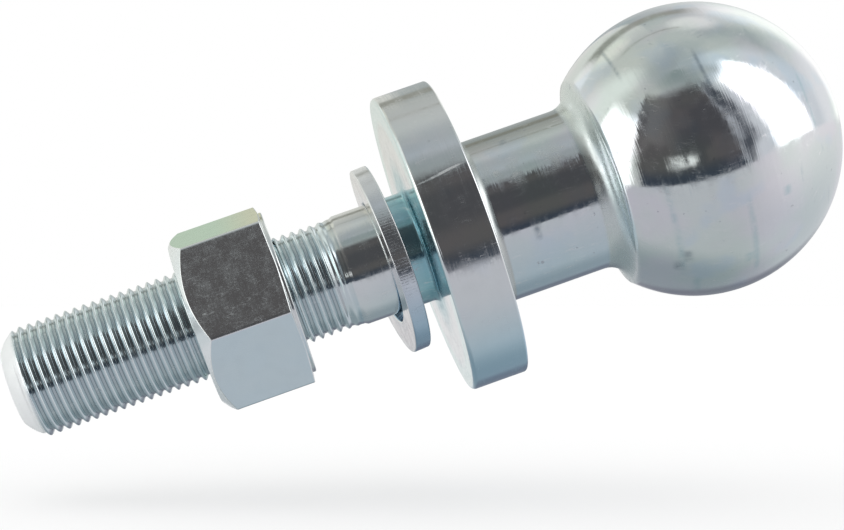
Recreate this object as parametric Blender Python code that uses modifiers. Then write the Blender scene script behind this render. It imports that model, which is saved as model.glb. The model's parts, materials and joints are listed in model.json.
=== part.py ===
"""Tow ball bolt: a one-piece ball stud with its split lock washer and hex nut.

Units are metres. The bolt stands on its threaded end: the origin is the centre of that
end's face, and +Z runs up the shank to the ball. Every height below is measured from the
collar's seat, the face that sits on a drawbar or bumper, and the empty seat_centre
carries them all up to their place.
Run it with blender --background --python part.py, or from the Text Editor.
"""

import math

import bmesh
import bpy
from mathutils import Matrix

MM = 0.001
TURN = 2 * math.pi

# Ball stud
BALL_RADIUS = 25.0 * MM
BALL_CENTRE_Z = 49.4 * MM
NECK_RADIUS = 14.1 * MM
NECK_TO_BALL_FILLET = 4.0 * MM
COLLAR_RADIUS = 25.9 * MM
COLLAR_THICKNESS = 9.6 * MM
COLLAR_EDGE_ROUND = 0.7 * MM
COLLAR_TO_NECK_FILLET = 2.5 * MM
SEAT_FILLET = 1.0 * MM
SHANK_RADIUS = 9.55 * MM
SHANK_END_Z = -12.7 * MM
STUD_END_Z = -71.6 * MM
END_FACE_RADIUS = 6.3 * MM

# Thread, 3/4 inch with 16 turns to the inch
THREAD_PITCH = 25.4 * MM / 16
THREAD_CREST_RADIUS = 9.45 * MM
THREAD_ROOT_RADIUS = 8.64 * MM
THREAD_CREST_FLAT = 0.3 * MM
THREAD_ROOT_FLAT = 0.3 * MM
THREAD_START_Z = STUD_END_Z - 1.4 * THREAD_PITCH
GROOVE_OVERSHOOT = 0.12 * MM
SPARE_TURNS = 3
RELIEF_RADIUS = 8.2 * MM
RELIEF_TOP_Z = -13.5 * MM
RELIEF_END_Z = -13.9 * MM
THREAD_CLEARANCE = 0.3 * MM

# Hex nut, 1 1/8 inch across its flats
NUT_ACROSS_FLATS = 28.575 * MM
NUT_OUTER_FACE_Z = -40.0 * MM
NUT_BEARING_FACE_Z = -23.5 * MM
NUT_CORNER_TURN = math.radians(11.2)
NUT_OUTER_FACE_RADIUS = 13.6 * MM
NUT_OUTER_CONE_SLOPE = 0.75
NUT_WASHER_FACE_RADIUS = 14.1 * MM
NUT_WASHER_FACE_STEP = 0.6 * MM
NUT_BEARING_CONE_SLOPE = 0.12
NUT_COUNTERSINK_RADIUS = 9.9 * MM

# Split lock washer, one turn of a left-hand helix that hangs loose on the shank
WASHER_BORE_RADIUS = 10.5 * MM
WASHER_OUTER_RADIUS = 16.1 * MM
WASHER_THICKNESS = 2.75 * MM
WASHER_HIGH_END_Z = -5.8 * MM
WASHER_FALL = 3.06 * MM
WASHER_SPLIT_AT = math.radians(110)
WASHER_SPLIT_GAP = math.radians(7)
WASHER_DROP = 0.45 * MM
WASHER_TILT_X = math.radians(-2.5)
WASHER_TILT_Y = math.radians(-2.85)

# Cutters run past the faces that they cut
MARGIN = 1.0 * MM

# A swept outline meets itself again within this distance
WELD_DISTANCE = 0.001 * MM

# Facets
THREAD_STEPS = 20
TURNED_STEPS = 2 * THREAD_STEPS
GROOVE_TURN = TURN / THREAD_STEPS / 2
BALL_ARC_POINTS = 17
FILLET_POINTS = 4
WASHER_STEPS = 48
SMOOTH_ANGLE = math.radians(28)

ZINC = (0.62, 0.66, 0.68, 1.0)
ZINC_BLUISH = (0.55, 0.62, 0.66, 1.0)
ZINC_DULL = (0.56, 0.58, 0.58, 1.0)
STUD_ROUGHNESS = 0.22
NUT_ROUGHNESS = 0.28
WASHER_ROUGHNESS = 0.32


def clear_scene():
    """Empty the scene, whatever it holds at the start."""
    for obj in list(bpy.data.objects):
        bpy.data.objects.remove(obj, do_unlink=True)


def new_collection(name):
    """A collection linked to the scene."""
    collection = bpy.data.collections.new(name)
    bpy.context.scene.collection.children.link(collection)
    return collection


def metal(name, colour, roughness):
    """A plain metallic Principled BSDF material."""
    material = bpy.data.materials.new(name)
    material.use_nodes = True
    shader = material.node_tree.nodes["Principled BSDF"]
    shader.inputs["Base Color"].default_value = colour
    shader.inputs["Metallic"].default_value = 1.0
    shader.inputs["Roughness"].default_value = roughness
    return material


def add_object(name, mesh, collection):
    """An object that shows a mesh, at the origin."""
    obj = bpy.data.objects.new(name, mesh)
    collection.objects.link(obj)
    return obj


def arc(centre, radius, start, end, points):
    """Points of an arc in the profile plane, (r, z), from one angle to another in degrees."""
    found = []
    for step in range(points):
        angle = math.radians(start + (end - start) * step / (points - 1))
        r = centre[0] + radius * math.cos(angle)
        z = centre[1] + radius * math.sin(angle)
        found.append((r, z))
    return found


def screw_about_z(obj, steps, turns=1, angle=TURN, rise=0.0):
    """Sweep an object's outline round Z, climbing by rise in each turn."""
    screw = obj.modifiers.new("turn", "SCREW")
    screw.axis = "Z"
    screw.angle = angle
    screw.screw_offset = rise
    screw.iterations = turns
    screw.steps = steps
    screw.render_steps = steps
    screw.use_merge_vertices = rise == 0.0
    screw.merge_threshold = WELD_DISTANCE


def outline_object(name, outline, closed, collection):
    """An object whose mesh is a chain of edges through (r, z) points."""
    mesh = bpy.data.meshes.new(name)
    count = len(outline)
    edges = [(i, i + 1) for i in range(count - 1)]
    if closed:
        edges.append((count - 1, 0))
    mesh.from_pydata([(r, 0.0, z) for r, z in outline], edges, [])
    return add_object(name, mesh, collection)


def turned(name, profile, collection, steps):
    """A solid of revolution about Z, from (r, z) points that run down its outer side."""
    obj = outline_object(name, profile, False, collection)
    screw_about_z(obj, steps)
    return obj


def helical_sweep(name, outline, collection, **sweep):
    """A closed solid: a closed outline of (r, z) points swept along a helix, capped at both ends."""
    guide = outline_object(name, outline, True, collection)
    screw_about_z(guide, **sweep)
    graph = bpy.context.evaluated_depsgraph_get()
    mesh = bpy.data.meshes.new_from_object(guide.evaluated_get(graph))
    bpy.data.objects.remove(guide, do_unlink=True)
    bm = bmesh.new()
    bm.from_mesh(mesh)
    open_edges = [edge for edge in bm.edges if edge.is_boundary]
    bmesh.ops.holes_fill(bm, edges=open_edges, sides=0)
    bmesh.ops.recalc_face_normals(bm, faces=bm.faces)
    bm.to_mesh(mesh)
    bm.free()
    return add_object(name, mesh, collection)


def boolean(obj, other, operation):
    """Join to, cut from or keep within another object, which becomes a hidden helper."""
    modifier = obj.modifiers.new(other.name, "BOOLEAN")
    modifier.operation = operation
    modifier.solver = "EXACT"
    modifier.object = other
    other.hide_render = True
    other.display_type = "WIRE"


def shade_smooth(obj):
    """Smooth shading with edges sharper than SMOOTH_ANGLE left crisp."""
    obj.data.shade_smooth()
    obj.data.set_sharp_from_angle(angle=SMOOTH_ANGLE)


def place(seat, *objects):
    """Hang objects that were made about the seat's centre on the empty that holds its place."""
    for obj in objects:
        obj.parent = seat


def stud_head_profile():
    """The stud's outline from the top of the ball down to the relief above its thread."""
    rim_r = NECK_RADIUS + NECK_TO_BALL_FILLET
    rim_angle = -math.degrees(math.acos(rim_r / BALL_RADIUS))
    rim_z = BALL_CENTRE_Z + BALL_RADIUS * math.sin(math.radians(rim_angle))
    bevel_r = SHANK_RADIUS - (SHANK_END_Z - RELIEF_TOP_Z)
    profile = arc((0, BALL_CENTRE_Z), BALL_RADIUS, 90, rim_angle, BALL_ARC_POINTS)
    profile[0] = (0.0, BALL_CENTRE_Z + BALL_RADIUS)
    fillet_centre = (rim_r, rim_z - NECK_TO_BALL_FILLET)
    profile += arc(fillet_centre, NECK_TO_BALL_FILLET, 90, 180, FILLET_POINTS)[1:]
    foot_r = NECK_RADIUS + COLLAR_TO_NECK_FILLET
    foot_centre = (foot_r, COLLAR_THICKNESS + COLLAR_TO_NECK_FILLET)
    profile += arc(foot_centre, COLLAR_TO_NECK_FILLET, 180, 270, FILLET_POINTS)
    edge_r = COLLAR_RADIUS - COLLAR_EDGE_ROUND
    top_edge = (edge_r, COLLAR_THICKNESS - COLLAR_EDGE_ROUND)
    profile += arc(top_edge, COLLAR_EDGE_ROUND, 90, 0, FILLET_POINTS)
    bottom_edge = (edge_r, COLLAR_EDGE_ROUND)
    profile += arc(bottom_edge, COLLAR_EDGE_ROUND, 0, -90, FILLET_POINTS)
    seat_centre = (SHANK_RADIUS + SEAT_FILLET, -SEAT_FILLET)
    profile += arc(seat_centre, SEAT_FILLET, 90, 180, FILLET_POINTS)
    profile += [
        (SHANK_RADIUS, SHANK_END_Z),
        (bevel_r, RELIEF_TOP_Z),
        (0.0, RELIEF_TOP_Z),
    ]
    return profile


def thread_blank_profile():
    """The rod that the thread is cut in, from inside the shank down to its chamfered point."""
    top_z = SHANK_END_Z + MARGIN
    taper_height = THREAD_CREST_RADIUS - RELIEF_RADIUS
    point_height = THREAD_CREST_RADIUS - END_FACE_RADIUS
    return [
        (0.0, top_z),
        (RELIEF_RADIUS, top_z),
        (RELIEF_RADIUS, RELIEF_END_Z),
        (THREAD_CREST_RADIUS, RELIEF_END_Z - taper_height),
        (THREAD_CREST_RADIUS, STUD_END_Z + point_height),
        (END_FACE_RADIUS, STUD_END_Z),
        (0.0, STUD_END_Z),
    ]


def groove_outline(flat, opening_flat, root_r, opening_r):
    """One thread groove in section: its flanks run on past its opening by a small overshoot."""
    root = flat / 2
    opening = (THREAD_PITCH - opening_flat) / 2
    past = GROOVE_OVERSHOOT / abs(opening_r - root_r)
    far = opening + (opening - root) * past
    far_r = opening_r + (opening_r - root_r) * past
    return [(root_r, -root), (root_r, root), (far_r, far), (far_r, -far)]


def at_height(outline, z):
    """The outline lifted to a height."""
    return [(r, z + dz) for r, dz in outline]


def make_ball_stud(parts, cutters, seat):
    """Ball, neck, collar and plain shank in one turning, with a thread cut below."""
    stud = turned("ball_stud", stud_head_profile(), parts, TURNED_STEPS)
    blank = turned("stud_thread_blank", thread_blank_profile(), cutters, THREAD_STEPS)
    turns = math.ceil((RELIEF_END_Z - STUD_END_Z) / THREAD_PITCH) + SPARE_TURNS
    outline = groove_outline(
        THREAD_ROOT_FLAT,
        THREAD_CREST_FLAT,
        THREAD_ROOT_RADIUS,
        THREAD_CREST_RADIUS,
    )
    groove = helical_sweep(
        "stud_thread_groove",
        at_height(outline, THREAD_START_Z),
        cutters,
        steps=THREAD_STEPS,
        turns=turns,
        rise=THREAD_PITCH,
    )
    groove.rotation_euler = (0.0, 0.0, GROOVE_TURN)
    boolean(blank, groove, "DIFFERENCE")
    boolean(stud, blank, "UNION")
    shade_smooth(stud)
    place(seat, stud, blank, groove)
    return stud


def nut_blank_profile():
    """The turned outline that takes the corners off the nut and leaves its washer face."""
    reach = NUT_ACROSS_FLATS / math.sqrt(3) + MARGIN
    outer_rise = (reach - NUT_OUTER_FACE_RADIUS) * NUT_OUTER_CONE_SLOPE
    shoulder_z = NUT_BEARING_FACE_Z - NUT_WASHER_FACE_STEP
    bearing_drop = (reach - NUT_WASHER_FACE_RADIUS) * NUT_BEARING_CONE_SLOPE
    return [
        (0.0, NUT_BEARING_FACE_Z),
        (NUT_WASHER_FACE_RADIUS, NUT_BEARING_FACE_Z),
        (NUT_WASHER_FACE_RADIUS, shoulder_z),
        (reach, shoulder_z - bearing_drop),
        (reach, NUT_OUTER_FACE_Z + outer_rise),
        (NUT_OUTER_FACE_RADIUS, NUT_OUTER_FACE_Z),
        (0.0, NUT_OUTER_FACE_Z),
    ]


def nut_bore_profile():
    """The bore at the thread's inner radius, countersunk at both faces."""
    bore_r = THREAD_ROOT_RADIUS + THREAD_CLEARANCE
    sink = NUT_COUNTERSINK_RADIUS - bore_r
    mouth_r = NUT_COUNTERSINK_RADIUS + MARGIN
    return [
        (0.0, NUT_BEARING_FACE_Z + MARGIN),
        (mouth_r, NUT_BEARING_FACE_Z + MARGIN),
        (bore_r, NUT_BEARING_FACE_Z - sink),
        (bore_r, NUT_OUTER_FACE_Z + sink),
        (mouth_r, NUT_OUTER_FACE_Z - MARGIN),
        (0.0, NUT_OUTER_FACE_Z - MARGIN),
    ]


def make_hex_nut(parts, cutters, seat):
    """Hexagonal nut, chamfered deep outside and shallow behind its washer face."""
    bm = bmesh.new()
    height = NUT_BEARING_FACE_Z - NUT_OUTER_FACE_Z
    bmesh.ops.create_cone(
        bm,
        cap_ends=True,
        segments=6,
        radius1=NUT_ACROSS_FLATS / math.sqrt(3),
        radius2=NUT_ACROSS_FLATS / math.sqrt(3),
        depth=height + 2 * MARGIN,
        matrix=Matrix.Rotation(NUT_CORNER_TURN, 4, "Z"),
    )
    mesh = bpy.data.meshes.new("hex_nut")
    bm.to_mesh(mesh)
    bm.free()
    nut = add_object("hex_nut", mesh, parts)
    middle_z = (NUT_BEARING_FACE_Z + NUT_OUTER_FACE_Z) / 2
    nut.location = (0.0, 0.0, middle_z)
    blank = turned("nut_blank", nut_blank_profile(), cutters, TURNED_STEPS)
    bore = turned("nut_bore", nut_bore_profile(), cutters, THREAD_STEPS)
    skipped = math.floor((NUT_OUTER_FACE_Z - THREAD_START_Z) / THREAD_PITCH) - 1
    turns = math.ceil(height / THREAD_PITCH) + SPARE_TURNS
    start_z = THREAD_START_Z + (skipped - 0.5) * THREAD_PITCH
    outline = groove_outline(
        THREAD_CREST_FLAT,
        THREAD_ROOT_FLAT,
        THREAD_CREST_RADIUS + THREAD_CLEARANCE,
        THREAD_ROOT_RADIUS + THREAD_CLEARANCE,
    )
    groove = helical_sweep(
        "nut_thread_groove",
        at_height(outline, start_z),
        cutters,
        steps=THREAD_STEPS,
        turns=turns,
        rise=THREAD_PITCH,
    )
    groove.rotation_euler = (0.0, 0.0, GROOVE_TURN)
    boolean(nut, blank, "INTERSECT")
    boolean(nut, bore, "DIFFERENCE")
    boolean(nut, groove, "DIFFERENCE")
    shade_smooth(nut)
    place(seat, nut, blank, bore, groove)
    return nut


def make_lock_washer(parts, seat):
    """Square-section spring ring, cut once and sprung open along the shank."""
    outline = [
        (WASHER_BORE_RADIUS, 0.0),
        (WASHER_OUTER_RADIUS, 0.0),
        (WASHER_OUTER_RADIUS, WASHER_THICKNESS),
        (WASHER_BORE_RADIUS, WASHER_THICKNESS),
    ]
    washer = helical_sweep(
        "lock_washer",
        outline,
        parts,
        steps=WASHER_STEPS,
        angle=TURN - WASHER_SPLIT_GAP,
        rise=-WASHER_FALL,
    )
    spin = WASHER_SPLIT_AT + WASHER_SPLIT_GAP / 2
    washer.location = (WASHER_DROP, 0.0, WASHER_HIGH_END_Z)
    washer.rotation_mode = "ZYX"
    washer.rotation_euler = (WASHER_TILT_X, WASHER_TILT_Y, spin)
    shade_smooth(washer)
    place(seat, washer)
    return washer


def main():
    clear_scene()
    parts = new_collection("tow_ball_bolt")
    cutters = new_collection("cutters")
    cutters.hide_render = True
    seat = bpy.data.objects.new("seat_centre", None)
    seat.location = (0.0, 0.0, -STUD_END_Z)
    parts.objects.link(seat)
    stud = make_ball_stud(parts, cutters, seat)
    stud.data.materials.append(metal("bright_zinc", ZINC, STUD_ROUGHNESS))
    nut = make_hex_nut(parts, cutters, seat)
    nut.data.materials.append(metal("bluish_zinc", ZINC_BLUISH, NUT_ROUGHNESS))
    washer = make_lock_washer(parts, seat)
    washer.data.materials.append(metal("dull_zinc", ZINC_DULL, WASHER_ROUGHNESS))


main()
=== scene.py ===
"""Looks of the tow ball bolt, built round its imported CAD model.

Each of the three pieces gets a fine surface and a zinc plated finish: the turned ball stud with its
helical thread, the hex nut with its chamfers and thread, and the split lock washer. Lengths are in
metres and +Z runs up the shank to the ball, as in the frame.
"""

import json
import math

import bmesh
import bpy
import numpy as np
from mathutils import Matrix, Vector


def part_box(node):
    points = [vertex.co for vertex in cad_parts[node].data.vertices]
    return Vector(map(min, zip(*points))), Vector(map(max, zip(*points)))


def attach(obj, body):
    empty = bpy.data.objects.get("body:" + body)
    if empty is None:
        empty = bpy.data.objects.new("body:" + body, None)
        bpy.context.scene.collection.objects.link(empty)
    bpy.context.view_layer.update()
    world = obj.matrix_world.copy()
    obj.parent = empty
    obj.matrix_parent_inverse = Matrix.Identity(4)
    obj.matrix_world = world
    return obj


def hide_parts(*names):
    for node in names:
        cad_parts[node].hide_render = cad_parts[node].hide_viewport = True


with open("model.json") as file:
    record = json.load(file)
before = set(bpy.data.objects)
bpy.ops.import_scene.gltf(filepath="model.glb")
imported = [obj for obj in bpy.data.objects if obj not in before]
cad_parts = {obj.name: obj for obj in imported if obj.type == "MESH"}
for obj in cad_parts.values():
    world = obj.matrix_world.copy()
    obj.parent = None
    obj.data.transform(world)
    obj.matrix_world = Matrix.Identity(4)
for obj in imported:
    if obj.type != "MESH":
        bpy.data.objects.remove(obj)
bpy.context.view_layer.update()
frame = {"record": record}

MM = 0.001
TURN = 2 * math.pi

# Places that the frame gives
record = frame["record"]
mount_z = {mount["name"]: mount["pos_m"][2] for mount in record["mounts"]}
SEAT_Z = mount_z["seat_face"]
NUT_BEARING_Z = mount_z["nut_bearing_face"]
STUD_LOW, STUD_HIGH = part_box("ball_stud")
END_Z = STUD_LOW.z
NUT_OUTER_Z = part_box("hex_nut")[0].z
THREAD_PITCH = TURN * record["behaviour"]["couplings"][0]["ratio"]

# Ball stud
BALL_RADIUS = 25.0 * MM
BALL_CENTRE_Z = STUD_HIGH.z - BALL_RADIUS
NECK_RADIUS = 14.1 * MM
NECK_TO_BALL_FILLET = 4.0 * MM
FILLET_TOP_Z = BALL_CENTRE_Z - 17.4 * MM
COLLAR_RADIUS = STUD_HIGH.x
COLLAR_TOP_Z = SEAT_Z + 9.6 * MM
COLLAR_EDGE_ROUND = 0.35 * MM
SEAT_EDGE_ROUND = 0.7 * MM
COLLAR_TO_NECK_FILLET = 2.5 * MM
SEAT_FILLET = 1.0 * MM
SHANK_RADIUS = 9.55 * MM
SHANK_END_Z = SEAT_Z - 12.66 * MM
RUN_OUT_RADIUS = 9.27 * MM
RUN_OUT_Z = SEAT_Z - 13.2 * MM
THREAD_TOP_Z = SEAT_Z - 13.5 * MM
END_FACE_RADIUS = 6.3 * MM
END_FACE_RINGS = np.array([1.0, 0.97, 0.5, 0.0])
END_BEND_RADIUS = 8.3 * MM
END_BEND_RISE = 1.2 * MM
END_ROUND_RISE = 3.4 * MM

# Thread form, shared by the stud and the nut
CREST_RADIUS = 9.45 * MM
ROOT_RADIUS = 8.64 * MM
CREST_FLAT = 0.3 * MM
FLANK_SLOPE = math.sqrt(3)
CREST_SOFTNESS = 0.28 * MM
ROOT_SOFTNESS = 0.05 * MM
THREAD_CLEARANCE = 0.3 * MM
CREST_PHASE_Z = END_Z - 0.9 * THREAD_PITCH
RUN_OUT = 2.0 * THREAD_PITCH
CREST_RISE = 8.0 * MM

# Hex nut
HALF_FLATS = 14.2875 * MM
NUT_CORNER_AT = math.radians(-78.8)
NUT_CORNER_ROUND = 0.7 * MM
NUT_OUTER_FACE_RADIUS = 13.6 * MM
NUT_OUTER_CONE_SLOPE = 0.75
NUT_WASHER_FACE_RADIUS = 14.1 * MM
NUT_WASHER_FACE_STEP = 0.6 * MM
NUT_BEARING_CONE_SLOPE = 0.12
NUT_COUNTERSINK_RADIUS = 9.9 * MM
NUT_EDGE_ROUNDS = [0.25 * MM, 0.08 * MM, 0.2 * MM, 0.3 * MM, 0.35 * MM]

# Split lock washer
WASHER_BORE = 10.5 * MM
WASHER_RIM = 16.1 * MM
WASHER_THICKNESS = 2.75 * MM
WASHER_EDGE_ROUND = 0.32 * MM
WASHER_END_BEVEL = 0.15 * MM
WASHER_END_SIZE = 0.94
WASHER_HIGH_END_Z = SEAT_Z - 5.8 * MM
WASHER_FALL = 3.06 * MM
WASHER_SPLIT_AT = math.radians(110)
WASHER_SPLIT_GAP = math.radians(7)
WASHER_DROP = 0.45 * MM
WASHER_TILT_X = math.radians(-2.5)
WASHER_TILT_Y = math.radians(-2.85)

# Fineness
TURNED_COLUMNS = 144
ROW_NEAR_CORNER = 0.03
CREST_ROWS = np.array([0.4, 0.75, 1.0, 1.35, 1.9])
LIMIT_POINTS = 24
BALL_ROWS = 90
FILLET_ROWS = 10
EDGE_ROWS = 5
FLAT_COLUMNS = 18
CORNER_COLUMNS = 5
WASHER_SECTIONS = 180
MERGE = 2e-6
SHARP_ANGLE = math.radians(50)
NORMAL_WEIGHT = 80


# ---------------------------------------------------------------- shapes


def arc(centre, radius, start, end, count):
    """Points (r, z) of an arc in the profile plane, between two angles in degrees."""
    angles = np.radians(np.linspace(start, end, count))
    return [(centre[0] + radius * math.cos(a), centre[1] + radius * math.sin(a)) for a in angles]


def rounded(corners, radii, count):
    """A path through corner points, each an (r, z) pair of arrays, with its inner corners rounded.

    Gives r, z and wear as arrays of columns by rows. Wear is 1 on the rounded stretches, so the flat
    between two of them is worn as well.
    """
    points = [np.stack(np.broadcast_arrays(r, z), axis=-1) for r, z in corners]
    points = list(np.broadcast_arrays(*points))
    rows, wear = [points[0]], [0.0]
    steps = np.linspace(0, 1, count)
    for before, corner, after, radius in zip(points, points[1:], points[2:], radii):
        back, ahead = before - corner, after - corner
        back_length = np.linalg.norm(back, axis=-1, keepdims=True)
        ahead_length = np.linalg.norm(ahead, axis=-1, keepdims=True)
        back, ahead = back / back_length, ahead / ahead_length
        opening = np.arccos(np.clip((back * ahead).sum(-1, keepdims=True), -1, 1))
        reach = radius / np.tan(opening / 2)
        reach = np.minimum(reach, 0.45 * np.minimum(back_length, ahead_length))
        start, end = corner + back * reach, corner + ahead * reach
        for step in steps:
            rows.append(start * (1 - step) ** 2 + corner * 2 * step * (1 - step) + end * step**2)
            wear.append(1.0)
    rows.append(points[-1])
    wear.append(0.0)
    grid = np.stack(rows, axis=-2)
    return grid[..., 0], grid[..., 1], np.broadcast_to(wear, grid.shape[:-1])


class Skin:
    """Bands of points round the Z axis that become one closed mesh."""

    def __init__(self, angles):
        self.angles = angles
        self.points = []
        self.faces = []
        self.wear = []
        self.total = 0

    def band(self, r, z, wear=0.0, climb=0):
        """Add columns by rows of points. The last column meets the first one climb rows up."""
        columns = len(self.angles)
        rows = np.shape(z)[-1]
        shape = (columns, rows)
        r, z, wear = (np.broadcast_to(value, shape) for value in (r, z, wear))
        turn = self.angles[:, None]
        grid = np.stack([r * np.cos(turn), r * np.sin(turn), z], axis=-1)
        index = np.arange(columns * rows).reshape(shape) + self.total
        self.add_quads(index[:-1, :-1], index[1:, :-1], index[1:, 1:], index[:-1, 1:])
        kept = rows - 1 - climb
        last, first = index[-1], index[0]
        self.add_quads(last[:kept], first[climb:-1], first[climb + 1:], last[1:kept + 1])
        self.points.append(grid.reshape(-1, 3))
        self.wear.append(wear.reshape(-1))
        self.total += columns * rows

    def add_quads(self, a, b, c, d):
        self.faces.append(np.stack([a, b, c, d], axis=-1).reshape(-1, 4))

    def make(self, name):
        """The object, with its bands welded."""
        points = np.concatenate(self.points)
        return mesh_object(name, points, np.concatenate(self.faces), np.concatenate(self.wear))


def mesh_object(name, points, faces, wear):
    """A smooth shaded object from points and faces, welded, with its wear as a point attribute."""
    mesh = bpy.data.meshes.new(name)
    mesh.from_pydata(points.tolist(), [], [list(face) for face in faces])
    attribute = mesh.attributes.new("wear", "FLOAT", "POINT")
    attribute.data.foreach_set("value", np.asarray(wear, np.float32))
    bm = bmesh.new()
    bm.from_mesh(mesh)
    bmesh.ops.remove_doubles(bm, verts=bm.verts, dist=MERGE)
    bmesh.ops.dissolve_degenerate(bm, edges=bm.edges, dist=MERGE / 2)
    bmesh.ops.recalc_face_normals(bm, faces=bm.faces)
    bm.to_mesh(mesh)
    bm.free()
    mesh.shade_smooth()
    mesh.set_sharp_from_angle(angle=SHARP_ANGLE)
    obj = bpy.data.objects.new(name, mesh)
    bpy.context.scene.collection.objects.link(obj)
    weigh = obj.modifiers.new("weigh normals", "WEIGHTED_NORMAL")
    weigh.keep_sharp = True
    weigh.weight = NORMAL_WEIGHT
    return obj


def smooth_least(a, b, softness):
    """The lesser of two lengths, with the corner between them rounded."""
    return (a + b - np.sqrt((a - b) ** 2 + softness**2)) / 2


def thread_depth(z, turn):
    """How far below the crest the thread's surface lies, at a height and an angle."""
    place = (z - CREST_PHASE_Z - THREAD_PITCH * turn / TURN) / THREAD_PITCH
    off_crest = np.abs(place - np.round(place)) * THREAD_PITCH
    flank = (off_crest - CREST_FLAT / 2) * FLANK_SLOPE
    depth = -smooth_least(-flank, 0.0, CREST_SOFTNESS)
    return smooth_least(depth, CREST_RADIUS - ROOT_RADIUS, ROOT_SOFTNESS)


def thread_stops():
    """Places of one turn's rows, as shares of the pitch: the root is at 0 and the crest at 0.5."""
    crest = CREST_FLAT / 2 / THREAD_PITCH
    root = crest + (CREST_RADIUS - ROOT_RADIUS) / FLANK_SLOPE / THREAD_PITCH
    at_root = root + ROW_NEAR_CORNER * np.array([-1, 0, 1])
    off_crest = np.concatenate([crest * CREST_ROWS, at_root])
    return np.concatenate([[0.0], 0.5 - off_crest[::-1], [0.5], 0.5 + off_crest])


def thread_rows(low, high, angles):
    """Heights, columns by rows, that follow the helix between two planes and stop at them."""
    first = math.floor((low - CREST_PHASE_Z) / THREAD_PITCH) - 2
    turns = math.ceil((high - low) / THREAD_PITCH) + 4
    steps = (np.arange(turns)[:, None] + first + thread_stops() - 0.5).reshape(-1)
    climb = angles[:, None] / TURN
    return np.clip(CREST_PHASE_Z + THREAD_PITCH * (steps[None, :] + climb), low, high)


def end_limit(z):
    """The stud's greatest radius near its rounded end, a curve from the end face to the crests."""
    face = np.array((END_FACE_RADIUS, END_Z))
    bend = np.array((END_BEND_RADIUS, END_Z + END_BEND_RISE))
    crest = np.array((CREST_RADIUS, END_Z + END_ROUND_RISE))
    t = np.linspace(0, 1, LIMIT_POINTS)[:, None]
    curve = face * (1 - t) ** 2 + bend * 2 * t * (1 - t) + crest * t**2
    return np.interp(z, curve[:, 1], curve[:, 0])


def head_path():
    """The stud's outline from the top of the ball down to the start of its thread."""
    rim_r = NECK_RADIUS + NECK_TO_BALL_FILLET
    rim_angle = -math.degrees(math.acos(rim_r / BALL_RADIUS))
    rim_z = BALL_CENTRE_Z + BALL_RADIUS * math.sin(math.radians(rim_angle))
    neck_top = (rim_r, rim_z - NECK_TO_BALL_FILLET)
    foot = (NECK_RADIUS + COLLAR_TO_NECK_FILLET, COLLAR_TOP_Z + COLLAR_TO_NECK_FILLET)
    upper_edge = (COLLAR_RADIUS - COLLAR_EDGE_ROUND, COLLAR_TOP_Z - COLLAR_EDGE_ROUND)
    lower_edge = (COLLAR_RADIUS - SEAT_EDGE_ROUND, SEAT_Z + SEAT_EDGE_ROUND)
    seat = (SHANK_RADIUS + SEAT_FILLET, SEAT_Z - SEAT_FILLET)
    stretches = [
        (arc((0, BALL_CENTRE_Z), BALL_RADIUS, 90, rim_angle, BALL_ROWS), 0),
        (arc(neck_top, NECK_TO_BALL_FILLET, 90, 180, FILLET_ROWS), 0),
        (arc(foot, COLLAR_TO_NECK_FILLET, 180, 270, FILLET_ROWS), 0),
        (arc(upper_edge, COLLAR_EDGE_ROUND, 90, 0, EDGE_ROWS), 1),
        (arc(lower_edge, SEAT_EDGE_ROUND, 0, -90, EDGE_ROWS), 1),
        (arc(seat, SEAT_FILLET, 90, 180, FILLET_ROWS), 0),
        ([(SHANK_RADIUS, SHANK_END_Z), (RUN_OUT_RADIUS, RUN_OUT_Z)], 1),
        ([(RUN_OUT_RADIUS, THREAD_TOP_Z)], 0),
    ]
    path = [(r, z, wear) for points, wear in stretches for r, z in points]
    return np.array(path).T


def ball_stud():
    """Ball, neck, collar and shank in one skin, with the thread as a true helix."""
    angles = np.arange(TURNED_COLUMNS) * TURN / TURNED_COLUMNS
    skin = Skin(angles)
    r, z, wear = head_path()
    r[0] = 0.0
    skin.band(r, z, wear)
    z = thread_rows(END_Z, THREAD_TOP_Z, angles)
    below_top = THREAD_TOP_Z - z
    crest = RUN_OUT_RADIUS + (CREST_RADIUS - RUN_OUT_RADIUS) * np.clip(below_top / CREST_RISE, 0, 1)
    share = np.clip(below_top / RUN_OUT, 0, 1)
    full_depth = (crest - ROOT_RADIUS) / (CREST_RADIUS - ROOT_RADIUS)
    depth = thread_depth(z, angles[:, None]) * share * full_depth
    r = np.minimum(crest - depth, end_limit(z))
    skin.band(r, z, 0.0, len(thread_stops()))
    skin.band(END_FACE_RADIUS * END_FACE_RINGS, np.full(len(END_FACE_RINGS), END_Z))
    return skin.make("ball_stud_skin")


def hex_angles():
    """Angles round the nut, closer together at its six corners, and the hexagon's radius there."""
    round_centre = (HALF_FLATS - NUT_CORNER_ROUND) / math.cos(math.pi / 6)
    flat_half = (HALF_FLATS - NUT_CORNER_ROUND) * math.tan(math.pi / 6)
    flat_angle = math.atan(flat_half / HALF_FLATS)
    corner = np.linspace(flat_angle - math.pi / 6, math.pi / 6 - flat_angle, CORNER_COLUMNS)
    swing = round_centre * np.cos(corner)
    corner_r = swing + np.sqrt(NUT_CORNER_ROUND**2 - (round_centre * np.sin(corner)) ** 2)
    along = np.linspace(-flat_half, flat_half, FLAT_COLUMNS)[1:-1]
    flat = np.arctan(along / HALF_FLATS) + math.pi / 6
    flat_r = np.hypot(along, HALF_FLATS)
    one = np.concatenate([corner, flat])
    one_r = np.concatenate([corner_r, flat_r])
    is_corner = np.concatenate([np.ones_like(corner), np.zeros_like(flat)])
    angles = np.concatenate([one + NUT_CORNER_AT + side * TURN / 6 for side in range(6)])
    return angles, np.tile(one_r, 6), np.tile(is_corner, 6)


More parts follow.
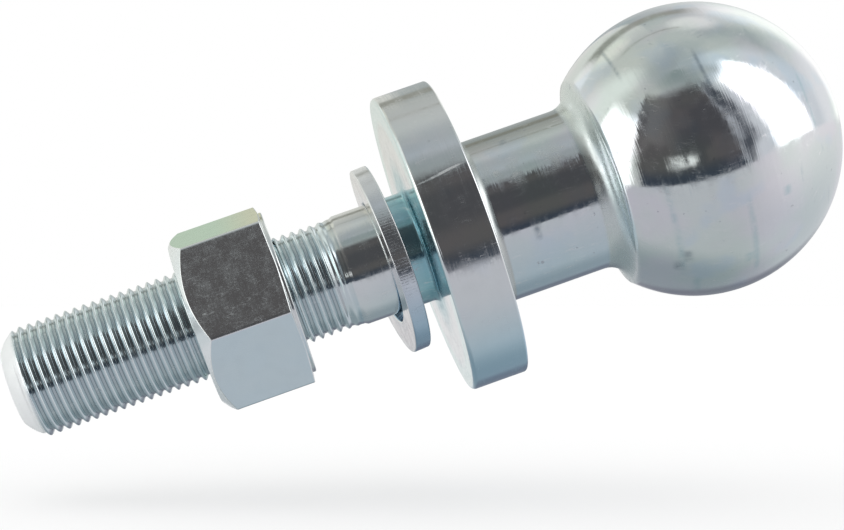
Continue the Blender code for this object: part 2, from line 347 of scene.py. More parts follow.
def hex_nut():
    """The nut: washer face, hexagon, deep outer chamfer, and a thread in step with the stud's."""
    angles, hexagon, is_corner = hex_angles()
    skin = Skin(angles)
    shoulder_z = NUT_BEARING_Z - NUT_WASHER_FACE_STEP
    bearing_z = shoulder_z - NUT_BEARING_CONE_SLOPE * (hexagon - NUT_WASHER_FACE_RADIUS)
    outer_z = NUT_OUTER_Z + NUT_OUTER_CONE_SLOPE * (hexagon - NUT_OUTER_FACE_RADIUS)
    corners = [
        (NUT_COUNTERSINK_RADIUS, NUT_BEARING_Z),
        (NUT_WASHER_FACE_RADIUS, NUT_BEARING_Z),
        (NUT_WASHER_FACE_RADIUS, shoulder_z),
        (hexagon, bearing_z),
        (hexagon, outer_z),
        (NUT_OUTER_FACE_RADIUS, NUT_OUTER_Z),
        (NUT_COUNTERSINK_RADIUS, NUT_OUTER_Z),
    ]
    r, z, wear = rounded(corners, NUT_EDGE_ROUNDS, EDGE_ROWS)
    skin.band(r, z, np.maximum(wear, is_corner[:, None]))
    z = thread_rows(NUT_OUTER_Z, NUT_BEARING_Z, angles)
    depth = thread_depth(z, angles[:, None])
    thread = CREST_RADIUS + THREAD_CLEARANCE - depth
    sink = NUT_COUNTERSINK_RADIUS - np.minimum(z - NUT_OUTER_Z, NUT_BEARING_Z - z)
    skin.band(np.maximum(thread, sink), z, 0.0, len(thread_stops()))
    return skin.make("hex_nut_skin")


def washer_section():
    """The washer's section, (r, z) round a closed loop, and the wear of each point."""
    middle = (WASHER_BORE + WASHER_RIM) / 2
    corners = [
        (middle, 0.0),
        (WASHER_RIM, 0.0),
        (WASHER_RIM, WASHER_THICKNESS),
        (WASHER_BORE, WASHER_THICKNESS),
        (WASHER_BORE, 0.0),
        (middle, 0.0),
    ]
    r, z, wear = rounded([(np.array([a]), np.array([b])) for a, b in corners],
                         [WASHER_EDGE_ROUND] * 4, EDGE_ROWS)
    return r[0][:-1], z[0][:-1], wear[0][:-1]


def lock_washer():
    """One turn of a left-hand helix with a rounded square section, hanging askew on the shank."""
    section_r, section_z, section_wear = washer_section()
    middle_r, middle_z = section_r.mean(), section_z.mean()
    sweep = TURN - WASHER_SPLIT_GAP
    share = np.linspace(0, 1, WASHER_SECTIONS)
    inset = WASHER_END_BEVEL / (WASHER_RIM * sweep)
    share[1], share[-2] = inset, 1 - inset
    size = np.ones(WASHER_SECTIONS)
    size[0] = size[-1] = WASHER_END_SIZE
    turn = WASHER_SPLIT_AT + WASHER_SPLIT_GAP / 2 + sweep * share
    r = middle_r + (section_r[None, :] - middle_r) * size[:, None]
    z = middle_z + (section_z[None, :] - middle_z) * size[:, None] - WASHER_FALL * share[:, None]
    grid = np.stack([r * np.cos(turn)[:, None], r * np.sin(turn)[:, None], z], axis=-1)
    count = len(section_r)
    index = np.arange(WASHER_SECTIONS * count).reshape(WASHER_SECTIONS, count)
    beside = np.roll(index, -1, axis=1)
    quads = np.stack([index[:-1], beside[:-1], beside[1:], index[1:]], axis=-1).reshape(-1, 4)
    faces = [list(quad) for quad in quads] + [list(index[0]), list(index[-1])]
    wear = np.tile(section_wear, WASHER_SECTIONS)
    obj = mesh_object("lock_washer_skin", grid.reshape(-1, 3), faces, wear)
    tilt = Matrix.Rotation(WASHER_TILT_X, 4, "X") @ Matrix.Rotation(WASHER_TILT_Y, 4, "Y")
    place = Matrix.Translation((WASHER_DROP, 0.0, WASHER_HIGH_END_Z))
    obj.data.transform(place @ tilt)
    return obj


# ---------------------------------------------------------------- shader nodes


class Graph:
    """Short calls that add and wire the nodes of one shader tree."""

    def __init__(self, tree):
        self.tree = tree
        tree.nodes.clear()

    def node(self, kind, inputs=None, **settings):
        node = self.tree.nodes.new(kind)
        for name, value in settings.items():
            setattr(node, name, value)
        for name, value in (inputs or {}).items():
            self.feed(value, node.inputs[name])
        return node

    def feed(self, value, socket):
        """Link an output to an input, or set the input to a plain value."""
        if isinstance(value, bpy.types.NodeSocket):
            self.tree.links.new(value, socket)
        else:
            socket.default_value = value

    def math(self, operation, a, b=0.0, clamp=False):
        node = self.node("ShaderNodeMath", operation=operation, use_clamp=clamp)
        self.feed(a, node.inputs[0])
        self.feed(b, node.inputs[1])
        return node.outputs[0]

    def total(self, *values):
        found = values[0]
        for value in values[1:]:
            found = self.math("ADD", found, value)
        return found

    def product(self, *values):
        found = values[0]
        for value in values[1:]:
            found = self.math("MULTIPLY", found, value)
        return found

    def dot(self, vector, direction):
        node = self.node("ShaderNodeVectorMath", operation="DOT_PRODUCT")
        self.feed(vector, node.inputs[0])
        self.feed(direction, node.inputs[1])
        return node.outputs["Value"]

    def join(self, x, y, z):
        return self.node("ShaderNodeCombineXYZ", {"X": x, "Y": y, "Z": z}).outputs[0]

    def ramp(self, value, start, end, low=0.0, high=1.0):
        """A smooth step of a value between start and end, from low to high."""
        inputs = {"Value": value, "From Min": start, "From Max": end, "To Min": low, "To Max": high}
        node = self.node("ShaderNodeMapRange", inputs, interpolation_type="SMOOTHSTEP")
        return node.outputs["Result"]

    def within(self, value, low, high, soft):
        """1 between low and high, fading over soft on either side."""
        rise = self.ramp(value, low - soft, low + soft)
        fall = self.ramp(value, high - soft, high + soft, 1.0, 0.0)
        return self.product(rise, fall)

    def mix(self, share, a, b, blend="MIX"):
        """A colour between a and b."""
        node = self.node("ShaderNodeMix", data_type="RGBA", blend_type=blend)
        self.feed(share, node.inputs["Factor"])
        self.feed(a, node.inputs[6])
        self.feed(b, node.inputs[7])
        return node.outputs[2]

    def noise(self, vector, scale, detail=2.0, roughness=0.5, distortion=0.0, dimensions="3D"):
        inputs = {
            "Vector": vector,
            "Scale": scale,
            "Detail": detail,
            "Roughness": roughness,
            "Distortion": distortion,
        }
        return self.node("ShaderNodeTexNoise", inputs, noise_dimensions=dimensions).outputs[0]

    def lines(self, vector, scale, width):
        """Thin winding lines, 1 on a line."""
        off = self.math("ABSOLUTE", self.math("SUBTRACT", self.noise(vector, scale, 1.0), 0.5))
        return self.ramp(off, width, 0.0)

    def stretch(self, vector, x, y, z, turn=0.0):
        """A place turned about Z and then scaled along each axis."""
        inputs = {"Vector": vector, "Scale": (x, y, z), "Rotation": (0, 0, turn)}
        return self.node("ShaderNodeMapping", inputs).outputs[0]


# ---------------------------------------------------------------- light and camera

# The photographed view: the camera's axes in the row frame
VIEW = Vector((0.0097, 0.9968, 0.0799)).normalized()
VIEW_UP = Vector((-0.9431, -0.0174, 0.3319))
VIEW_RIGHT = VIEW.cross(VIEW_UP).normalized()
VIEW_UP = VIEW_RIGHT.cross(VIEW).normalized()
EYE = Vector((0.0, -0.3347, SEAT_Z - 27.6 * MM)) - 0.1 * MM * VIEW_RIGHT
LENS_MM = 85.0
SENSOR_MM = 36.0

# The studio's axes: the bolt lay level on a white table, with the camera above it
TABLE_UP = Vector((-0.9026, -0.4304, 0.0096)).normalized()
TABLE_FRONT = (-VIEW - TABLE_UP * (-VIEW).dot(TABLE_UP)).normalized()
TABLE_RIGHT = TABLE_UP.cross(TABLE_FRONT)

# The floor lies below the bolt in the picture; its light is what falls on matt surfaces
AIM = Vector((3.3 * MM, 0.0, SEAT_Z - 0.8 * MM))
FLOOR_DROP = 39.0 * MM
FLOOR_HALF = 1.5
FLOOR_LIGHT = 1.16
FLOOR_SHADE = 0.47
FLOOR_GLOW = 0.475


def colour(red, green, blue):
    return (red, green, blue, 1.0)


# Round patches in the mirrored studio: azimuth and height, reach and core in degrees, strength, shade
TABLE_GLOWS = (
    ((-130, -66), 46, 12, 0.85, colour(0.25, 0.30, 0.325)),
    ((172, -48), 20, 6, 0.85, colour(0.17, 0.18, 0.22)),
    ((-172, -24), 17, 6, 0.8, colour(0.85, 0.86, 0.85)),
)
ROOM_GLOWS = (
    ((157, 39), 13, 4, 0.85, colour(0.82, 0.84, 0.80)),
    ((-160, 32), 12, 4, 0.7, colour(0.86, 0.88, 0.78)),
)
NEAR_RAIL_GLOW = ((-152, 16), 11, 4, 0.85, colour(0.96, 0.97, 0.94))

# Soft boxes and pale screens: shade, the azimuths of both sides, their softness, top and its softness
SOFT_BOXES = (
    (colour(0.66, 0.71, 0.73), (84, 114), 8, 72, 8),
    (colour(0.84, 0.87, 0.83), (-130, -98), 12, 66, 9),
    (colour(1.7, 1.7, 1.68), (-99, -61), 3, 46, 5),
    (colour(1.15, 1.15, 1.12), (141, 160), 7, 20, 22),
)
RAGGED_BOXES = (
    (colour(0.62, 0.66, 0.68), (36, 70), 4, 66, 6),
    (colour(1.8, 1.8, 1.82), (56, 95), 2.5, 61, 4),
)


def toward(azimuth, height):
    """A direction given by its azimuth about the table's normal and its height over the table."""
    azimuth, height = math.radians(azimuth), math.radians(height)
    level = TABLE_FRONT * math.cos(azimuth) + TABLE_RIGHT * math.sin(azimuth)
    return level * math.cos(height) + TABLE_UP * math.sin(height)


def glow(graph, below_it, direction, place, reach, core, strength, shade):
    """Blend in a round patch of a shade, full within its core and gone beyond its reach."""
    facing = graph.dot(direction, toward(*place))
    near = graph.ramp(facing, math.cos(math.radians(reach)), math.cos(math.radians(core)))
    return graph.mix(graph.product(near, strength), below_it, shade)


def table_colour(graph, direction, azimuth, height):
    """The white table: brightest on the right and far away, with the bolt's own shadow on it."""
    steep = graph.ramp(height, -5, -85)
    front = graph.mix(steep, colour(0.53, 0.53, 0.57), colour(0.485, 0.515, 0.525))
    nearer = graph.ramp(height, -8, -52)
    right = graph.mix(nearer, colour(0.84, 0.83, 0.835), colour(0.58, 0.60, 0.64))
    to_right = graph.product(graph.ramp(azimuth, 10, 78), graph.ramp(height, -88, -52))
    table = graph.mix(to_right, front, right)
    for spot in TABLE_GLOWS:
        table = glow(graph, table, direction, *spot)
    return table


def studio_colour(graph, direction):
    """What a polished surface mirrors: table below, dark room in front, soft boxes at the sides.

    Azimuths and heights are in degrees, 0 towards the camera and level with the table.
    """
    right = graph.dot(direction, TABLE_RIGHT)
    up = graph.dot(direction, TABLE_UP)
    front = graph.dot(direction, TABLE_FRONT)
    degrees = math.degrees(1)
    azimuth = graph.product(graph.math("ARCTAN2", right, front), degrees)
    height = graph.product(graph.math("ARCSINE", up), degrees)
    broad = graph.noise(direction, 1.9, 3.0)
    fine = graph.math("SUBTRACT", graph.noise(direction, 14.0, 4.0, 0.65), 0.5)
    ragged = graph.total(azimuth, graph.product(fine, 11.0))
    table = table_colour(graph, direction, azimuth, height)
    lean = graph.product(height, graph.math("MAXIMUM", height, 0.0), 0.0045)
    leaning = graph.total(ragged, lean)
    arched = graph.total(height, graph.ramp(azimuth, 0, -80, 0.0, 9.0))
    widening = graph.total(ragged, graph.ramp(height, 16, 4, 0.0, 9.0))

    def patch(below_it, shade, sides, soft, high, soft_top, places=(azimuth, azimuth, height)):
        """Put a shade between two azimuths and under a height, each edge measured by its own place."""
        left_place, right_place, top_place = places
        across = graph.product(
            graph.ramp(left_place, sides[0] - soft, sides[0] + soft),
            graph.ramp(right_place, sides[1] - soft, sides[1] + soft, 1.0, 0.0),
        )
        upward = graph.ramp(top_place, high - soft_top, high + soft_top, 1.0, 0.0)
        return graph.mix(graph.product(across, upward), below_it, shade)

    in_front = graph.within(azimuth, -70, 50, 30)
    ceiling = graph.mix(in_front, colour(0.37, 0.40, 0.415), colour(0.27, 0.315, 0.32))
    ceiling = graph.mix(graph.within(azimuth, 75, 145, 22), ceiling, colour(0.42, 0.46, 0.485))
    to_right = graph.ramp(azimuth, -60, 60)
    side = graph.mix(to_right, colour(0.60, 0.61, 0.575), colour(0.41, 0.45, 0.455))
    mottled = graph.mix(graph.ramp(broad, 0.36, 0.64), side, colour(0.54, 0.56, 0.55))
    room = graph.mix(graph.ramp(height, 60, 84), mottled, ceiling)
    far_wall = graph.product(graph.within(azimuth, 96, 168, 12), graph.ramp(height, 32, -8))
    room = graph.mix(far_wall, room, colour(0.82, 0.85, 0.85))
    corner_wall = graph.product(graph.ramp(azimuth, -120, -142), graph.ramp(height, 44, 16))
    room = graph.mix(corner_wall, room, colour(0.74, 0.75, 0.71))
    for spot in ROOM_GLOWS:
        room = glow(graph, room, direction, *spot)
    behind = graph.math("MAXIMUM", graph.ramp(azimuth, -148, -160), graph.ramp(azimuth, 156, 168))
    bar = graph.product(graph.within(height, 44.5, 46.5, 0.8), 0.75)
    rails = graph.math("MAXIMUM", graph.within(height, 13, 24, 3), bar)
    room = graph.mix(graph.product(behind, rails), room, colour(0.34, 0.345, 0.31))
    room = glow(graph, room, direction, *NEAR_RAIL_GLOW)
    for box in SOFT_BOXES:
        room = patch(room, *box)
    for box in RAGGED_BOXES:
        room = patch(room, *box, (ragged, azimuth, height))

    upright = graph.join(graph.product(azimuth, 0.3), graph.product(height, 0.05), 0.0)
    streaks = graph.noise(upright, 1.0, 3.0, 0.6)
    streaks = graph.total(streaks, graph.ramp(azimuth, 30, 35, 0.10, -0.07))
    pale_share = graph.ramp(streaks, 0.44, 0.60)
    shards = graph.mix(pale_share, colour(0.075, 0.085, 0.10), colour(0.38, 0.41, 0.43))
    room = patch(room, shards, (-50, 45), 4, 70, 5, (ragged, widening, height))
    to_left = graph.ramp(azimuth, -8, -46)
    dark = graph.mix(to_left, colour(0.070, 0.072, 0.077), colour(0.160, 0.156, 0.152))
    dark = graph.mix(graph.ramp(broad, 0.42, 0.60), dark, colour(0.100, 0.096, 0.096))
    dark = graph.mix(graph.ramp(height, 15, 3), dark, colour(0.045, 0.056, 0.076))
    room = patch(room, dark, (-54, 28), 1.5, 73, 4, (leaning, ragged, arched))
    spark = graph.ramp(graph.noise(direction, 16.0, 2.0), 0.36, 0.52)
    window = graph.mix(spark, dark, colour(0.85, 0.85, 0.85))
    lit = graph.product(graph.within(ragged, -30, -8, 3), graph.within(height, 12.5, 20.5, 2.5))
    room = graph.mix(lit, room, window)

    slope_right = graph.ramp(azimuth, 45, 160, 0.0, 24.0)
    slope_left = graph.ramp(azimuth, -95, -155, 0.0, 24.0)
    above = graph.ramp(graph.total(height, slope_right, slope_left), -0.8, 0.8)
    return graph.mix(above, table, room)


def set_light():
    """A world that mirrors as a studio, shines evenly on the floor and shows as plain white."""
    world = bpy.data.worlds.new("studio")
    bpy.context.scene.world = world
    world.use_nodes = True
    graph = Graph(world.node_tree)
    direction = graph.node("ShaderNodeTexCoord").outputs["Generated"]
    mirrored = studio_colour(graph, direction)
    ray = graph.node("ShaderNodeLightPath").outputs
    seen = graph.mix(ray["Is Diffuse Ray"], mirrored, colour(FLOOR_LIGHT, FLOOR_LIGHT, FLOOR_LIGHT))
    seen = graph.mix(ray["Is Camera Ray"], seen, colour(1.0, 1.0, 1.0))
    background = graph.node("ShaderNodeBackground", {"Color": seen, "Strength": 1.0})
    output = graph.node("ShaderNodeOutputWorld")
    graph.feed(background.outputs[0], output.inputs["Surface"])
    bpy.context.scene.view_settings.view_transform = "Standard"


def set_camera():
    data = bpy.data.cameras.new("photo_view")
    data.lens = LENS_MM
    data.sensor_width = SENSOR_MM
    camera = bpy.data.objects.new("photo_view", data)
    turn = Matrix((VIEW_RIGHT, VIEW_UP, -VIEW)).transposed().to_4x4()
    camera.matrix_world = Matrix.Translation(EYE) @ turn
    bpy.context.scene.collection.objects.link(camera)
    bpy.context.scene.camera = camera


def floor_material():
    """Pale matt floor that glows a little, so its shadow stays faint, and is clear from behind."""
    material = bpy.data.materials.new("floor_white")
    material.use_nodes = True
    graph = Graph(material.node_tree)
    shade = colour(FLOOR_SHADE, FLOOR_SHADE, FLOOR_SHADE)
    matt = graph.node("ShaderNodeBsdfDiffuse", {"Color": shade})
    lit = graph.node("ShaderNodeEmission", {"Color": colour(1.0, 1.0, 1.0), "Strength": FLOOR_GLOW})
    pale = graph.node("ShaderNodeAddShader")
    graph.feed(matt.outputs[0], pale.inputs[0])
    graph.feed(lit.outputs[0], pale.inputs[1])
    clear = graph.node("ShaderNodeBsdfTransparent")
    behind = graph.node("ShaderNodeNewGeometry").outputs["Backfacing"]
    shader = graph.node("ShaderNodeMixShader")
    graph.feed(behind, shader.inputs[0])
    graph.feed(pale.outputs[0], shader.inputs[1])
    graph.feed(clear.outputs[0], shader.inputs[2])
    output = graph.node("ShaderNodeOutputMaterial")
    graph.feed(shader.outputs[0], output.inputs["Surface"])
    return material


def add_floor():
    mesh = bpy.data.meshes.new("floor")
    corners = [(x * FLOOR_HALF, y * FLOOR_HALF, 0.0) for x, y in ((-1, -1), (1, -1), (1, 1), (-1, 1))]
    mesh.from_pydata(corners, [], [(0, 1, 2, 3)])
    mesh.materials.append(floor_material())
    floor = bpy.data.objects.new("floor", mesh)
    bpy.context.scene.collection.objects.link(floor)
    turn = Matrix((VIEW_RIGHT, VIEW, VIEW_UP)).transposed().to_4x4()
    floor.matrix_world = Matrix.Translation(AIM - VIEW_UP * FLOOR_DROP) @ turn
    floor.visible_glossy = False


# ---------------------------------------------------------------- materials


class Plated:
    """A zinc plated metal: fields that every piece's film and marks are made from.

    Places are in mm. The tint is the film's colour seen from in front, with any painted reflection and
    shade mixed in, and the edge is its colour seen at a grazing angle.
    """

    def __init__(self, name):
        self.material = bpy.data.materials.new(name)
        self.material.use_nodes = True
        self.graph = graph = Graph(self.material.node_tree)
        found = graph.node("ShaderNodeTexCoord").outputs
        scaled = graph.node("ShaderNodeVectorMath", {"Scale": 1 / MM}, operation="SCALE")
        graph.feed(found["Object"], scaled.inputs[0])
        self.place = scaled.outputs[0]
        self.normal = found["Normal"]
        split = graph.node("ShaderNodeSeparateXYZ", {"Vector": self.place}).outputs
        self.z = split[2]
        across = graph.total(graph.product(split[0], split[0]), graph.product(split[1], split[1]))
        self.radius = graph.math("SQRT", across)
        self.turn = graph.math("ARCTAN2", split[1], split[0])
        self.wear = graph.node("ShaderNodeAttribute", attribute_name="wear").outputs["Fac"]
        drift = graph.product(graph.math("SUBTRACT", graph.noise(self.place, 0.08), 0.5), 0.6)
        self.outline = graph.join(self.radius, graph.total(self.z, drift), 0.0)
        self.tint = colour(0.8, 0.8, 0.8)
        self.rough = 0.1
        self.relief = 0.0
        self.metallic = 1.0
        self.edge = colour(1.0, 1.0, 1.0)

    def stain_and_painted_light(self, share, shade, rougher=0.0, raised=0.0, chalky=0.0):
        """Tint, roughen, raise or sink, and dull the surface by a share from 0 to 1."""
        graph = self.graph
        self.tint = graph.mix(share, self.tint, shade)
        if rougher:
            self.rough = graph.total(self.rough, graph.product(share, rougher))
        if raised:
            self.relief = graph.total(self.relief, graph.product(share, raised))
        if chalky:
            self.metallic = graph.total(self.metallic, graph.product(share, -chalky))

    def marks(self, depth):
        """Turning marks that run round the piece, a slight waviness and a fine grain."""
        graph = self.graph
        fine = graph.noise(self.outline, 2.6, 3.0, 0.65, dimensions="2D")
        broad = graph.noise(self.outline, 0.35, 2.0, 0.5, dimensions="2D")
        grain = graph.noise(self.place, 3.0, 3.0, 0.6)
        wave = graph.noise(self.place, 0.22, 2.0)
        for field, share in ((fine, 1.0), (broad, 4.0), (grain, 0.5), (wave, 6.0)):
            self.relief = graph.total(self.relief, graph.product(field, depth * share))
        self.rough = graph.total(self.rough, graph.ramp(fine, 0.3, 0.8, -0.02, 0.05))
        patches = graph.noise(self.place, 0.5, 3.0)
        self.rough = graph.total(self.rough, graph.ramp(patches, 0.35, 0.7, -0.02, 0.07))

    def scratches(self, scale, strength, shade=colour(0.95, 0.95, 0.95)):
        """Fine scratches that run three ways over the unrolled surface, in scattered groups."""
        graph = self.graph
        unrolled = graph.join(graph.product(self.turn, self.radius), self.z, self.radius)
        for number, turn in enumerate((0.5, 1.3, 2.5)):
            groups = graph.ramp(graph.noise(self.place, 0.4 + 0.1 * number, 2.0), 0.50, 0.62)
            along = graph.stretch(unrolled, 1.0, 0.1, 0.3, turn)
            line = graph.lines(along, scale, 0.02)
            self.stain_and_painted_light(graph.product(line, groups, strength), shade, rougher=0.3)

    def ring_mark(self, height, turns, width, strength, shade, slant=0.0, rougher=0.08):
        """An uneven mark round the piece, between two ends in degrees.

        Its height over the seat and its width are in mm, and its slant is in mm a degree.
        """
        graph = self.graph
        degrees = graph.product(self.turn, math.degrees(1))
        level = graph.total(self.z, graph.product(graph.total(degrees, -turns[0]), -slant))
        off = graph.math("ABSOLUTE", graph.total(level, -SEAT_Z / MM - height))
        line = graph.ramp(off, width, 0.0)
        ends = graph.within(degrees, turns[0], turns[1], (turns[1] - turns[0]) / 5)
        uneven = graph.ramp(graph.noise(self.place, 0.4, 3.0, 0.6), 0.35, 0.6, 0.35, 1.0)
        self.stain_and_painted_light(graph.product(line, ends, uneven, strength), shade, rougher)

    def worn_edges(self, strength):
        """Rub the film pale on the edges, and on the faces between two of them."""
        self.stain_and_painted_light(self.graph.product(self.wear, strength), colour(0.90, 0.91, 0.91), rougher=0.06)

    def finish(self):
        """The material, with its shader wired."""
        graph = self.graph
        bumpy = {"Height": self.relief, "Strength": 1.0, "Distance": MM}
        bump = graph.node("ShaderNodeBump", bumpy)
        tangent = graph.node("ShaderNodeTangent", direction_type="RADIAL", axis="Z")
        inputs = {
            "Base Color": self.tint,
            "Metallic": self.metallic,
            "Specular Tint": self.edge,
            "Roughness": self.rough,
            "Anisotropic": 0.3,
            "Tangent": tangent.outputs[0],
            "Normal": bump.outputs[0],
        }
        shader = graph.node("ShaderNodeBsdfPrincipled", inputs)
        output = graph.node("ShaderNodeOutputMaterial")
        graph.feed(shader.outputs[0], output.inputs["Surface"])
        return self.material


# Marks on the stud: height over the seat in mm, both ends in degrees, width in mm, strength, shade
TEAL, SOOT = colour(0.50, 0.66, 0.70), colour(0.30, 0.36, 0.40)
RING_MARKS = (
    (50.0, (-126, -104), 0.60, 0.70, SOOT),
    (50.1, (-64, -28), 0.90, 0.50, TEAL),
    (49.0, (-41, -36), 1.40, 0.45, TEAL),
    (38.1, (-155, -131), 0.50, 0.60, SOOT),
    (38.2, (-78, -36), 0.90, 0.50, TEAL),
    (39.2, (-48, -42), 1.20, 0.60, SOOT),
    (37.6, (-42, -36), 1.20, 0.50, SOOT),
    (40.4, (-30, -16), 1.20, 0.50, TEAL),
    (65.3, (-110, -82), 0.50, 0.40, TEAL),
    (57.0, (-64, -60), 1.20, 0.60, TEAL),
    (17.6, (-76, -67), 0.90, 0.95, SOOT),
    (17.8, (-148, -142), 1.10, 0.50, SOOT),
)


def stud_finish():
    """Bright zinc on the turned stud: lavender and green film, teal in the seat's corner, stains, and
    painted reflection and shade on its low and top sides.
    """
    metal = Plated("stud_zinc")
    graph, z, radius = metal.graph, metal.z, metal.radius
    seat, end, thread_top = SEAT_Z / MM, END_Z / MM, THREAD_TOP_Z / MM
    collar_top, fillet_top = COLLAR_TOP_Z / MM, FILLET_TOP_Z / MM
    collar_radius = COLLAR_RADIUS / MM
    degrees = graph.product(metal.turn, math.degrees(1))
    sidewise = graph.math("COSINE", metal.turn)

    # Where the fillets, the rounded end, the thread, the seat's corner, the neck and the rim lie
    in_fillet = graph.within(z, fillet_top - 3.4, fillet_top + 0.2, 0.3)
    fillet = graph.product(in_fillet, graph.ramp(radius, 20.0, 18.6))
    in_foot = graph.within(z, collar_top, collar_top + 2.4, 0.2)
    foot = graph.product(in_foot, graph.ramp(radius, 17.5, 16.5))
    stud_end = graph.ramp(z, end + 3.3, end + 2.4)
    threaded = graph.ramp(z, thread_top, thread_top - 1.0)
    painted_root_shade = graph.product(threaded, graph.ramp(radius, 8.92, 8.70))
    below_ball = graph.ramp(z, fillet_top, fillet_top - 4)
    under_seat = graph.ramp(z, seat + 0.6, seat + 0.1)
    corner = graph.product(graph.ramp(z, seat - 5.5, seat - 3.6), under_seat)
    over_foot = graph.ramp(z, collar_top + 0.5, collar_top + 4)
    on_neck = graph.product(over_foot, graph.ramp(z, fillet_top, fillet_top - 3))
    rim = graph.product(graph.ramp(radius, collar_radius - 0.9, collar_radius - 0.3), below_ball)

    film = graph.ramp(graph.noise(metal.place, 0.085, 2.0), 0.38, 0.62)
    metal.tint = graph.mix(film, colour(0.82, 0.815, 0.855), colour(0.77, 0.83, 0.815))
    blue = graph.ramp(graph.noise(metal.place, 0.13, 2.0), 0.52, 0.68)
    metal.stain_and_painted_light(graph.product(blue, 0.6), colour(0.70, 0.79, 0.88))
    metal.rough = 0.075
    metal.marks(0.0028)
    combs = graph.noise(metal.outline, 3.2, 2.0, 0.6, dimensions="2D")
    comb_rows = graph.noise(metal.outline, 0.5, 2.0, dimensions="2D")
    comb_rows = graph.ramp(comb_rows, 0.4, 0.6, 0.25, 1.0)
    metal.relief = graph.total(metal.relief, graph.product(combs, comb_rows, 0.007))
    calm = graph.math("MAXIMUM", graph.product(fillet, 0.9), graph.product(threaded, 0.6))
    smooth = graph.math("SUBTRACT", 1.0, graph.math("MAXIMUM", calm, stud_end))
    metal.relief = graph.product(metal.relief, smooth)

    # Painted light by side: a bluish painted reflection of the table on the low side, and darker
    # brownish painted shade
    # on the top side. Under the collar: dark teal on the shank in its corner, cyan and pinkish tints
    # on the seat face
    painted_low_side_reflection = graph.product(graph.ramp(sidewise, 0.0, 0.95, 0.0, 0.85), below_ball)
    metal.stain_and_painted_light(painted_low_side_reflection, colour(0.60, 0.73, 0.81))
    painted_top_side_shade = graph.product(graph.ramp(sidewise, -0.70, -0.88, 0.0, 0.85), below_ball)
    metal.stain_and_painted_light(painted_top_side_shade, colour(0.50, 0.51, 0.47))
    shank_corner = graph.product(corner, graph.ramp(radius, 19, 12))
    metal.stain_and_painted_light(shank_corner, colour(0.31, 0.56, 0.63), rougher=0.05)
    outer = graph.product(corner, graph.within(radius, 21.5, 26.0, 1.2))
    metal.stain_and_painted_light(outer, colour(0.62, 0.95, 0.95))
    inner = graph.product(corner, graph.within(radius, 14.0, 21.0, 3.0), 0.7)
    metal.stain_and_painted_light(inner, colour(0.90, 0.84, 0.86))
    metal.stain_and_painted_light(threaded, colour(0.74, 0.82, 0.845), rougher=0.02)
    # Painted shade: the thread's roots are darkened
    metal.stain_and_painted_light(graph.product(painted_root_shade, 0.5), colour(0.30, 0.37, 0.40))

    # Duller places: the rounded end, both fillets and a bloom on the neck
    metal.stain_and_painted_light(stud_end, colour(0.93, 0.95, 0.95), rougher=0.50, chalky=0.5)
    metal.stain_and_painted_light(fillet, colour(0.74, 0.80, 0.79), rougher=0.19)
    metal.stain_and_painted_light(foot, colour(0.62, 0.65, 0.64), rougher=0.14)
    bloom = graph.product(graph.within(degrees, -128, -108, 7), on_neck)
    blotches = graph.ramp(graph.noise(metal.place, 0.35, 3.0, 0.6), 0.40, 0.64)
    metal.stain_and_painted_light(graph.product(bloom, blotches, 0.6), colour(0.80, 0.83, 0.81), rougher=0.32)

    # Spots in rows, specks, marks that run round, one long scratch and worn edges
    rows = graph.ramp(graph.noise(graph.join(z, 0.0, 0.0), 0.42, 2.0), 0.60, 0.68)
    round_it = graph.product(metal.turn, 5.0)
    spots = graph.noise(graph.join(graph.product(z, 1.1), round_it, 3.0), 1.1, 3.0, 0.6)
    spotted = graph.product(rows, graph.ramp(spots, 0.55, 0.70))
    metal.stain_and_painted_light(graph.product(spotted, 0.35), colour(0.50, 0.60, 0.66), rougher=0.08)
    specks = graph.ramp(graph.noise(metal.place, 0.7, 3.0, 0.6), 0.68, 0.74)
    metal.stain_and_painted_light(graph.product(specks, 0.55), colour(0.42, 0.44, 0.48), rougher=0.12)
    for mark in RING_MARKS:
        metal.ring_mark(*mark)
    pale = colour(0.98, 0.98, 0.98)
    metal.ring_mark(7.8, (-112.8, -110.6), 2.0, 1.0, pale, slant=-2.7, rougher=0.7)
    metal.scratches(1.0, 0.3)
    metal.worn_edges(0.6)
    # Painted reflection: the collar rim's low side, towards the table, is tinted blue
    painted_low_rim_reflection = graph.product(rim, graph.ramp(sidewise, 0.40, 0.95, 0.0, 0.9))
    metal.stain_and_painted_light(painted_low_rim_reflection, colour(0.52, 0.74, 0.89))
    return metal.finish()


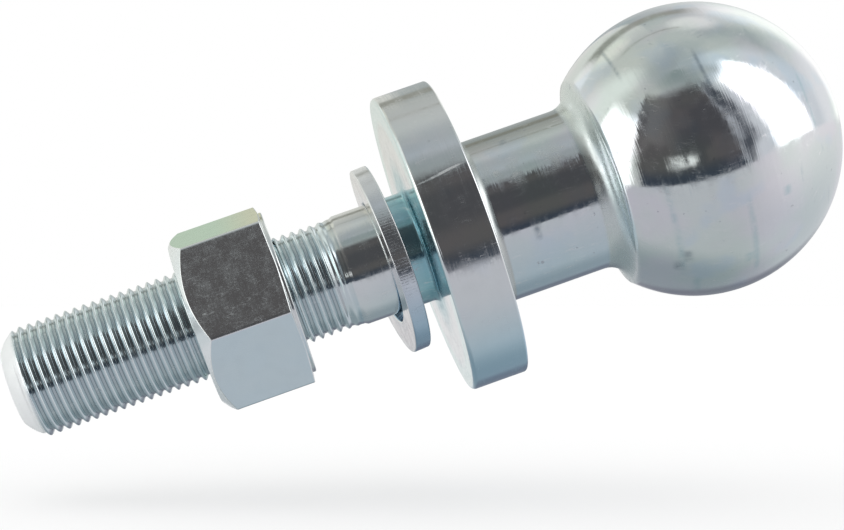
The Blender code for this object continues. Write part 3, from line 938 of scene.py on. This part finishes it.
def nut_finish():
    """Satin zinc on the nut: every flat has its own tint, partly film colour and partly painted
    reflection and shade set by the way it faces, with speckles and scratches.
    """
    metal = Plated("nut_zinc")
    graph = metal.graph
    metal.tint = colour(0.94, 0.99, 0.97)
    grey, blue, green = colour(0.64, 0.62, 0.63), colour(0.455, 0.77, 1.0), colour(0.57, 0.80, 0.56)
    bearing = NUT_BEARING_Z / MM
    near_bearing = graph.ramp(metal.z, bearing - 9, bearing)
    rolled = 0.0
    # Each flat's tint is set by the way it faces: partly film colour, partly painted reflection and
    # shade. Green-yellow on the top flat, blue on three flats (the lower ones among them), darker grey
    # on the front and back flats. The green flat's yellowing towards the bearing face and its grazing
    # colour are partly painted reflection colour as well
    for side, film in enumerate((grey, blue, blue, grey, blue, green)):
        turn = NUT_CORNER_AT - math.pi / 6 + side * TURN / 6
        facing = graph.dot(metal.normal, (math.cos(turn), math.sin(turn), 0.0))
        flat = graph.ramp(facing, 0.93, 0.99)
        metal.stain_and_painted_light(flat, film)
        if film == grey:
            rolled = graph.math("MAXIMUM", rolled, flat)
        if film == green:
            metal.stain_and_painted_light(graph.product(flat, near_bearing), colour(0.67, 0.70, 0.46))
            grazed = graph.mix(near_bearing, colour(0.70, 0.82, 0.72), colour(0.82, 0.82, 0.68))
            metal.edge = graph.mix(flat, metal.edge, grazed)
    outward = graph.dot(metal.normal, (0.0, 0.0, -1.0))
    cone = graph.within(outward, 0.55, 0.93, 0.03)
    metal.stain_and_painted_light(cone, colour(0.84, 0.97, 0.99), chalky=0.35)
    cloud = graph.ramp(graph.noise(metal.place, 0.15, 3.0), 0.4, 0.65)
    metal.stain_and_painted_light(graph.product(cloud, 0.08), colour(0.80, 0.82, 0.80))
    metal.rough = 0.10
    metal.marks(0.0006)
    speckle = graph.ramp(graph.noise(metal.place, 4.5, 3.0, 0.7), 0.48, 0.70)
    metal.stain_and_painted_light(graph.product(speckle, rolled, 0.20), colour(0.90, 0.93, 0.95), rougher=0.8)
    metal.scratches(2.4, graph.product(rolled, 0.5))
    metal.worn_edges(0.7)
    return metal.finish()


def washer_finish():
    """Dull zinc on the spring washer: bluish rim with forming ticks, bluer on its low side as a
    painted reflection of the table, pinkish faces.
    """
    metal = Plated("washer_zinc")
    graph = metal.graph
    upright = graph.math("ABSOLUTE", graph.dot(metal.normal, (0.0, 0.0, 1.0)))
    on_face = graph.ramp(upright, 0.5, 0.9)
    metal.tint = graph.mix(on_face, colour(0.76, 0.80, 0.89), colour(0.86, 0.815, 0.815))
    metal.rough = 0.13
    metal.marks(0.0015)
    uneven = graph.product(graph.noise(graph.join(metal.turn, 0.0, 0.0), 14.0, 2.0), 9.0)
    ticks = graph.math("SINE", graph.total(graph.product(metal.turn, 190.0), uneven))
    twice_round = graph.product(graph.total(metal.turn, math.radians(92)), 2.0)
    groups = graph.ramp(graph.math("COSINE", twice_round), 0.45, 0.85)
    unrolled = graph.join(graph.product(metal.turn, 16.0), metal.z, 0.0)
    faint = graph.ramp(graph.noise(unrolled, 1.4, 2.0), 0.35, 0.6)
    on_rim = graph.math("SUBTRACT", 1.0, on_face)
    tick = graph.product(graph.ramp(ticks, 0.1, 0.9), groups, on_rim, faint)
    metal.stain_and_painted_light(graph.product(tick, 0.7), colour(0.34, 0.36, 0.40), rougher=0.2, raised=-0.012)
    metal.scratches(1.2, 0.4)
    metal.worn_edges(0.75)
    # Painted reflection: the rim's low side, towards the table, is tinted bluer
    painted_low_side_reflection = graph.ramp(graph.math("COSINE", metal.turn), 0.0, 0.9, 0.0, 0.9)
    metal.stain_and_painted_light(graph.product(painted_low_side_reflection, on_rim), colour(0.41, 0.59, 0.75))
    return metal.finish()


# ---------------------------------------------------------------- the object

for skin, finish, node, body in (
    (ball_stud(), stud_finish(), "ball_stud", "stud"),
    (hex_nut(), nut_finish(), "hex_nut", "nut"),
    (lock_washer(), washer_finish(), "lock_washer", "washer"),
):
    skin.data.materials.append(finish)
    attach(skin, body)
    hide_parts(node)

set_light()
set_camera()
add_floor()
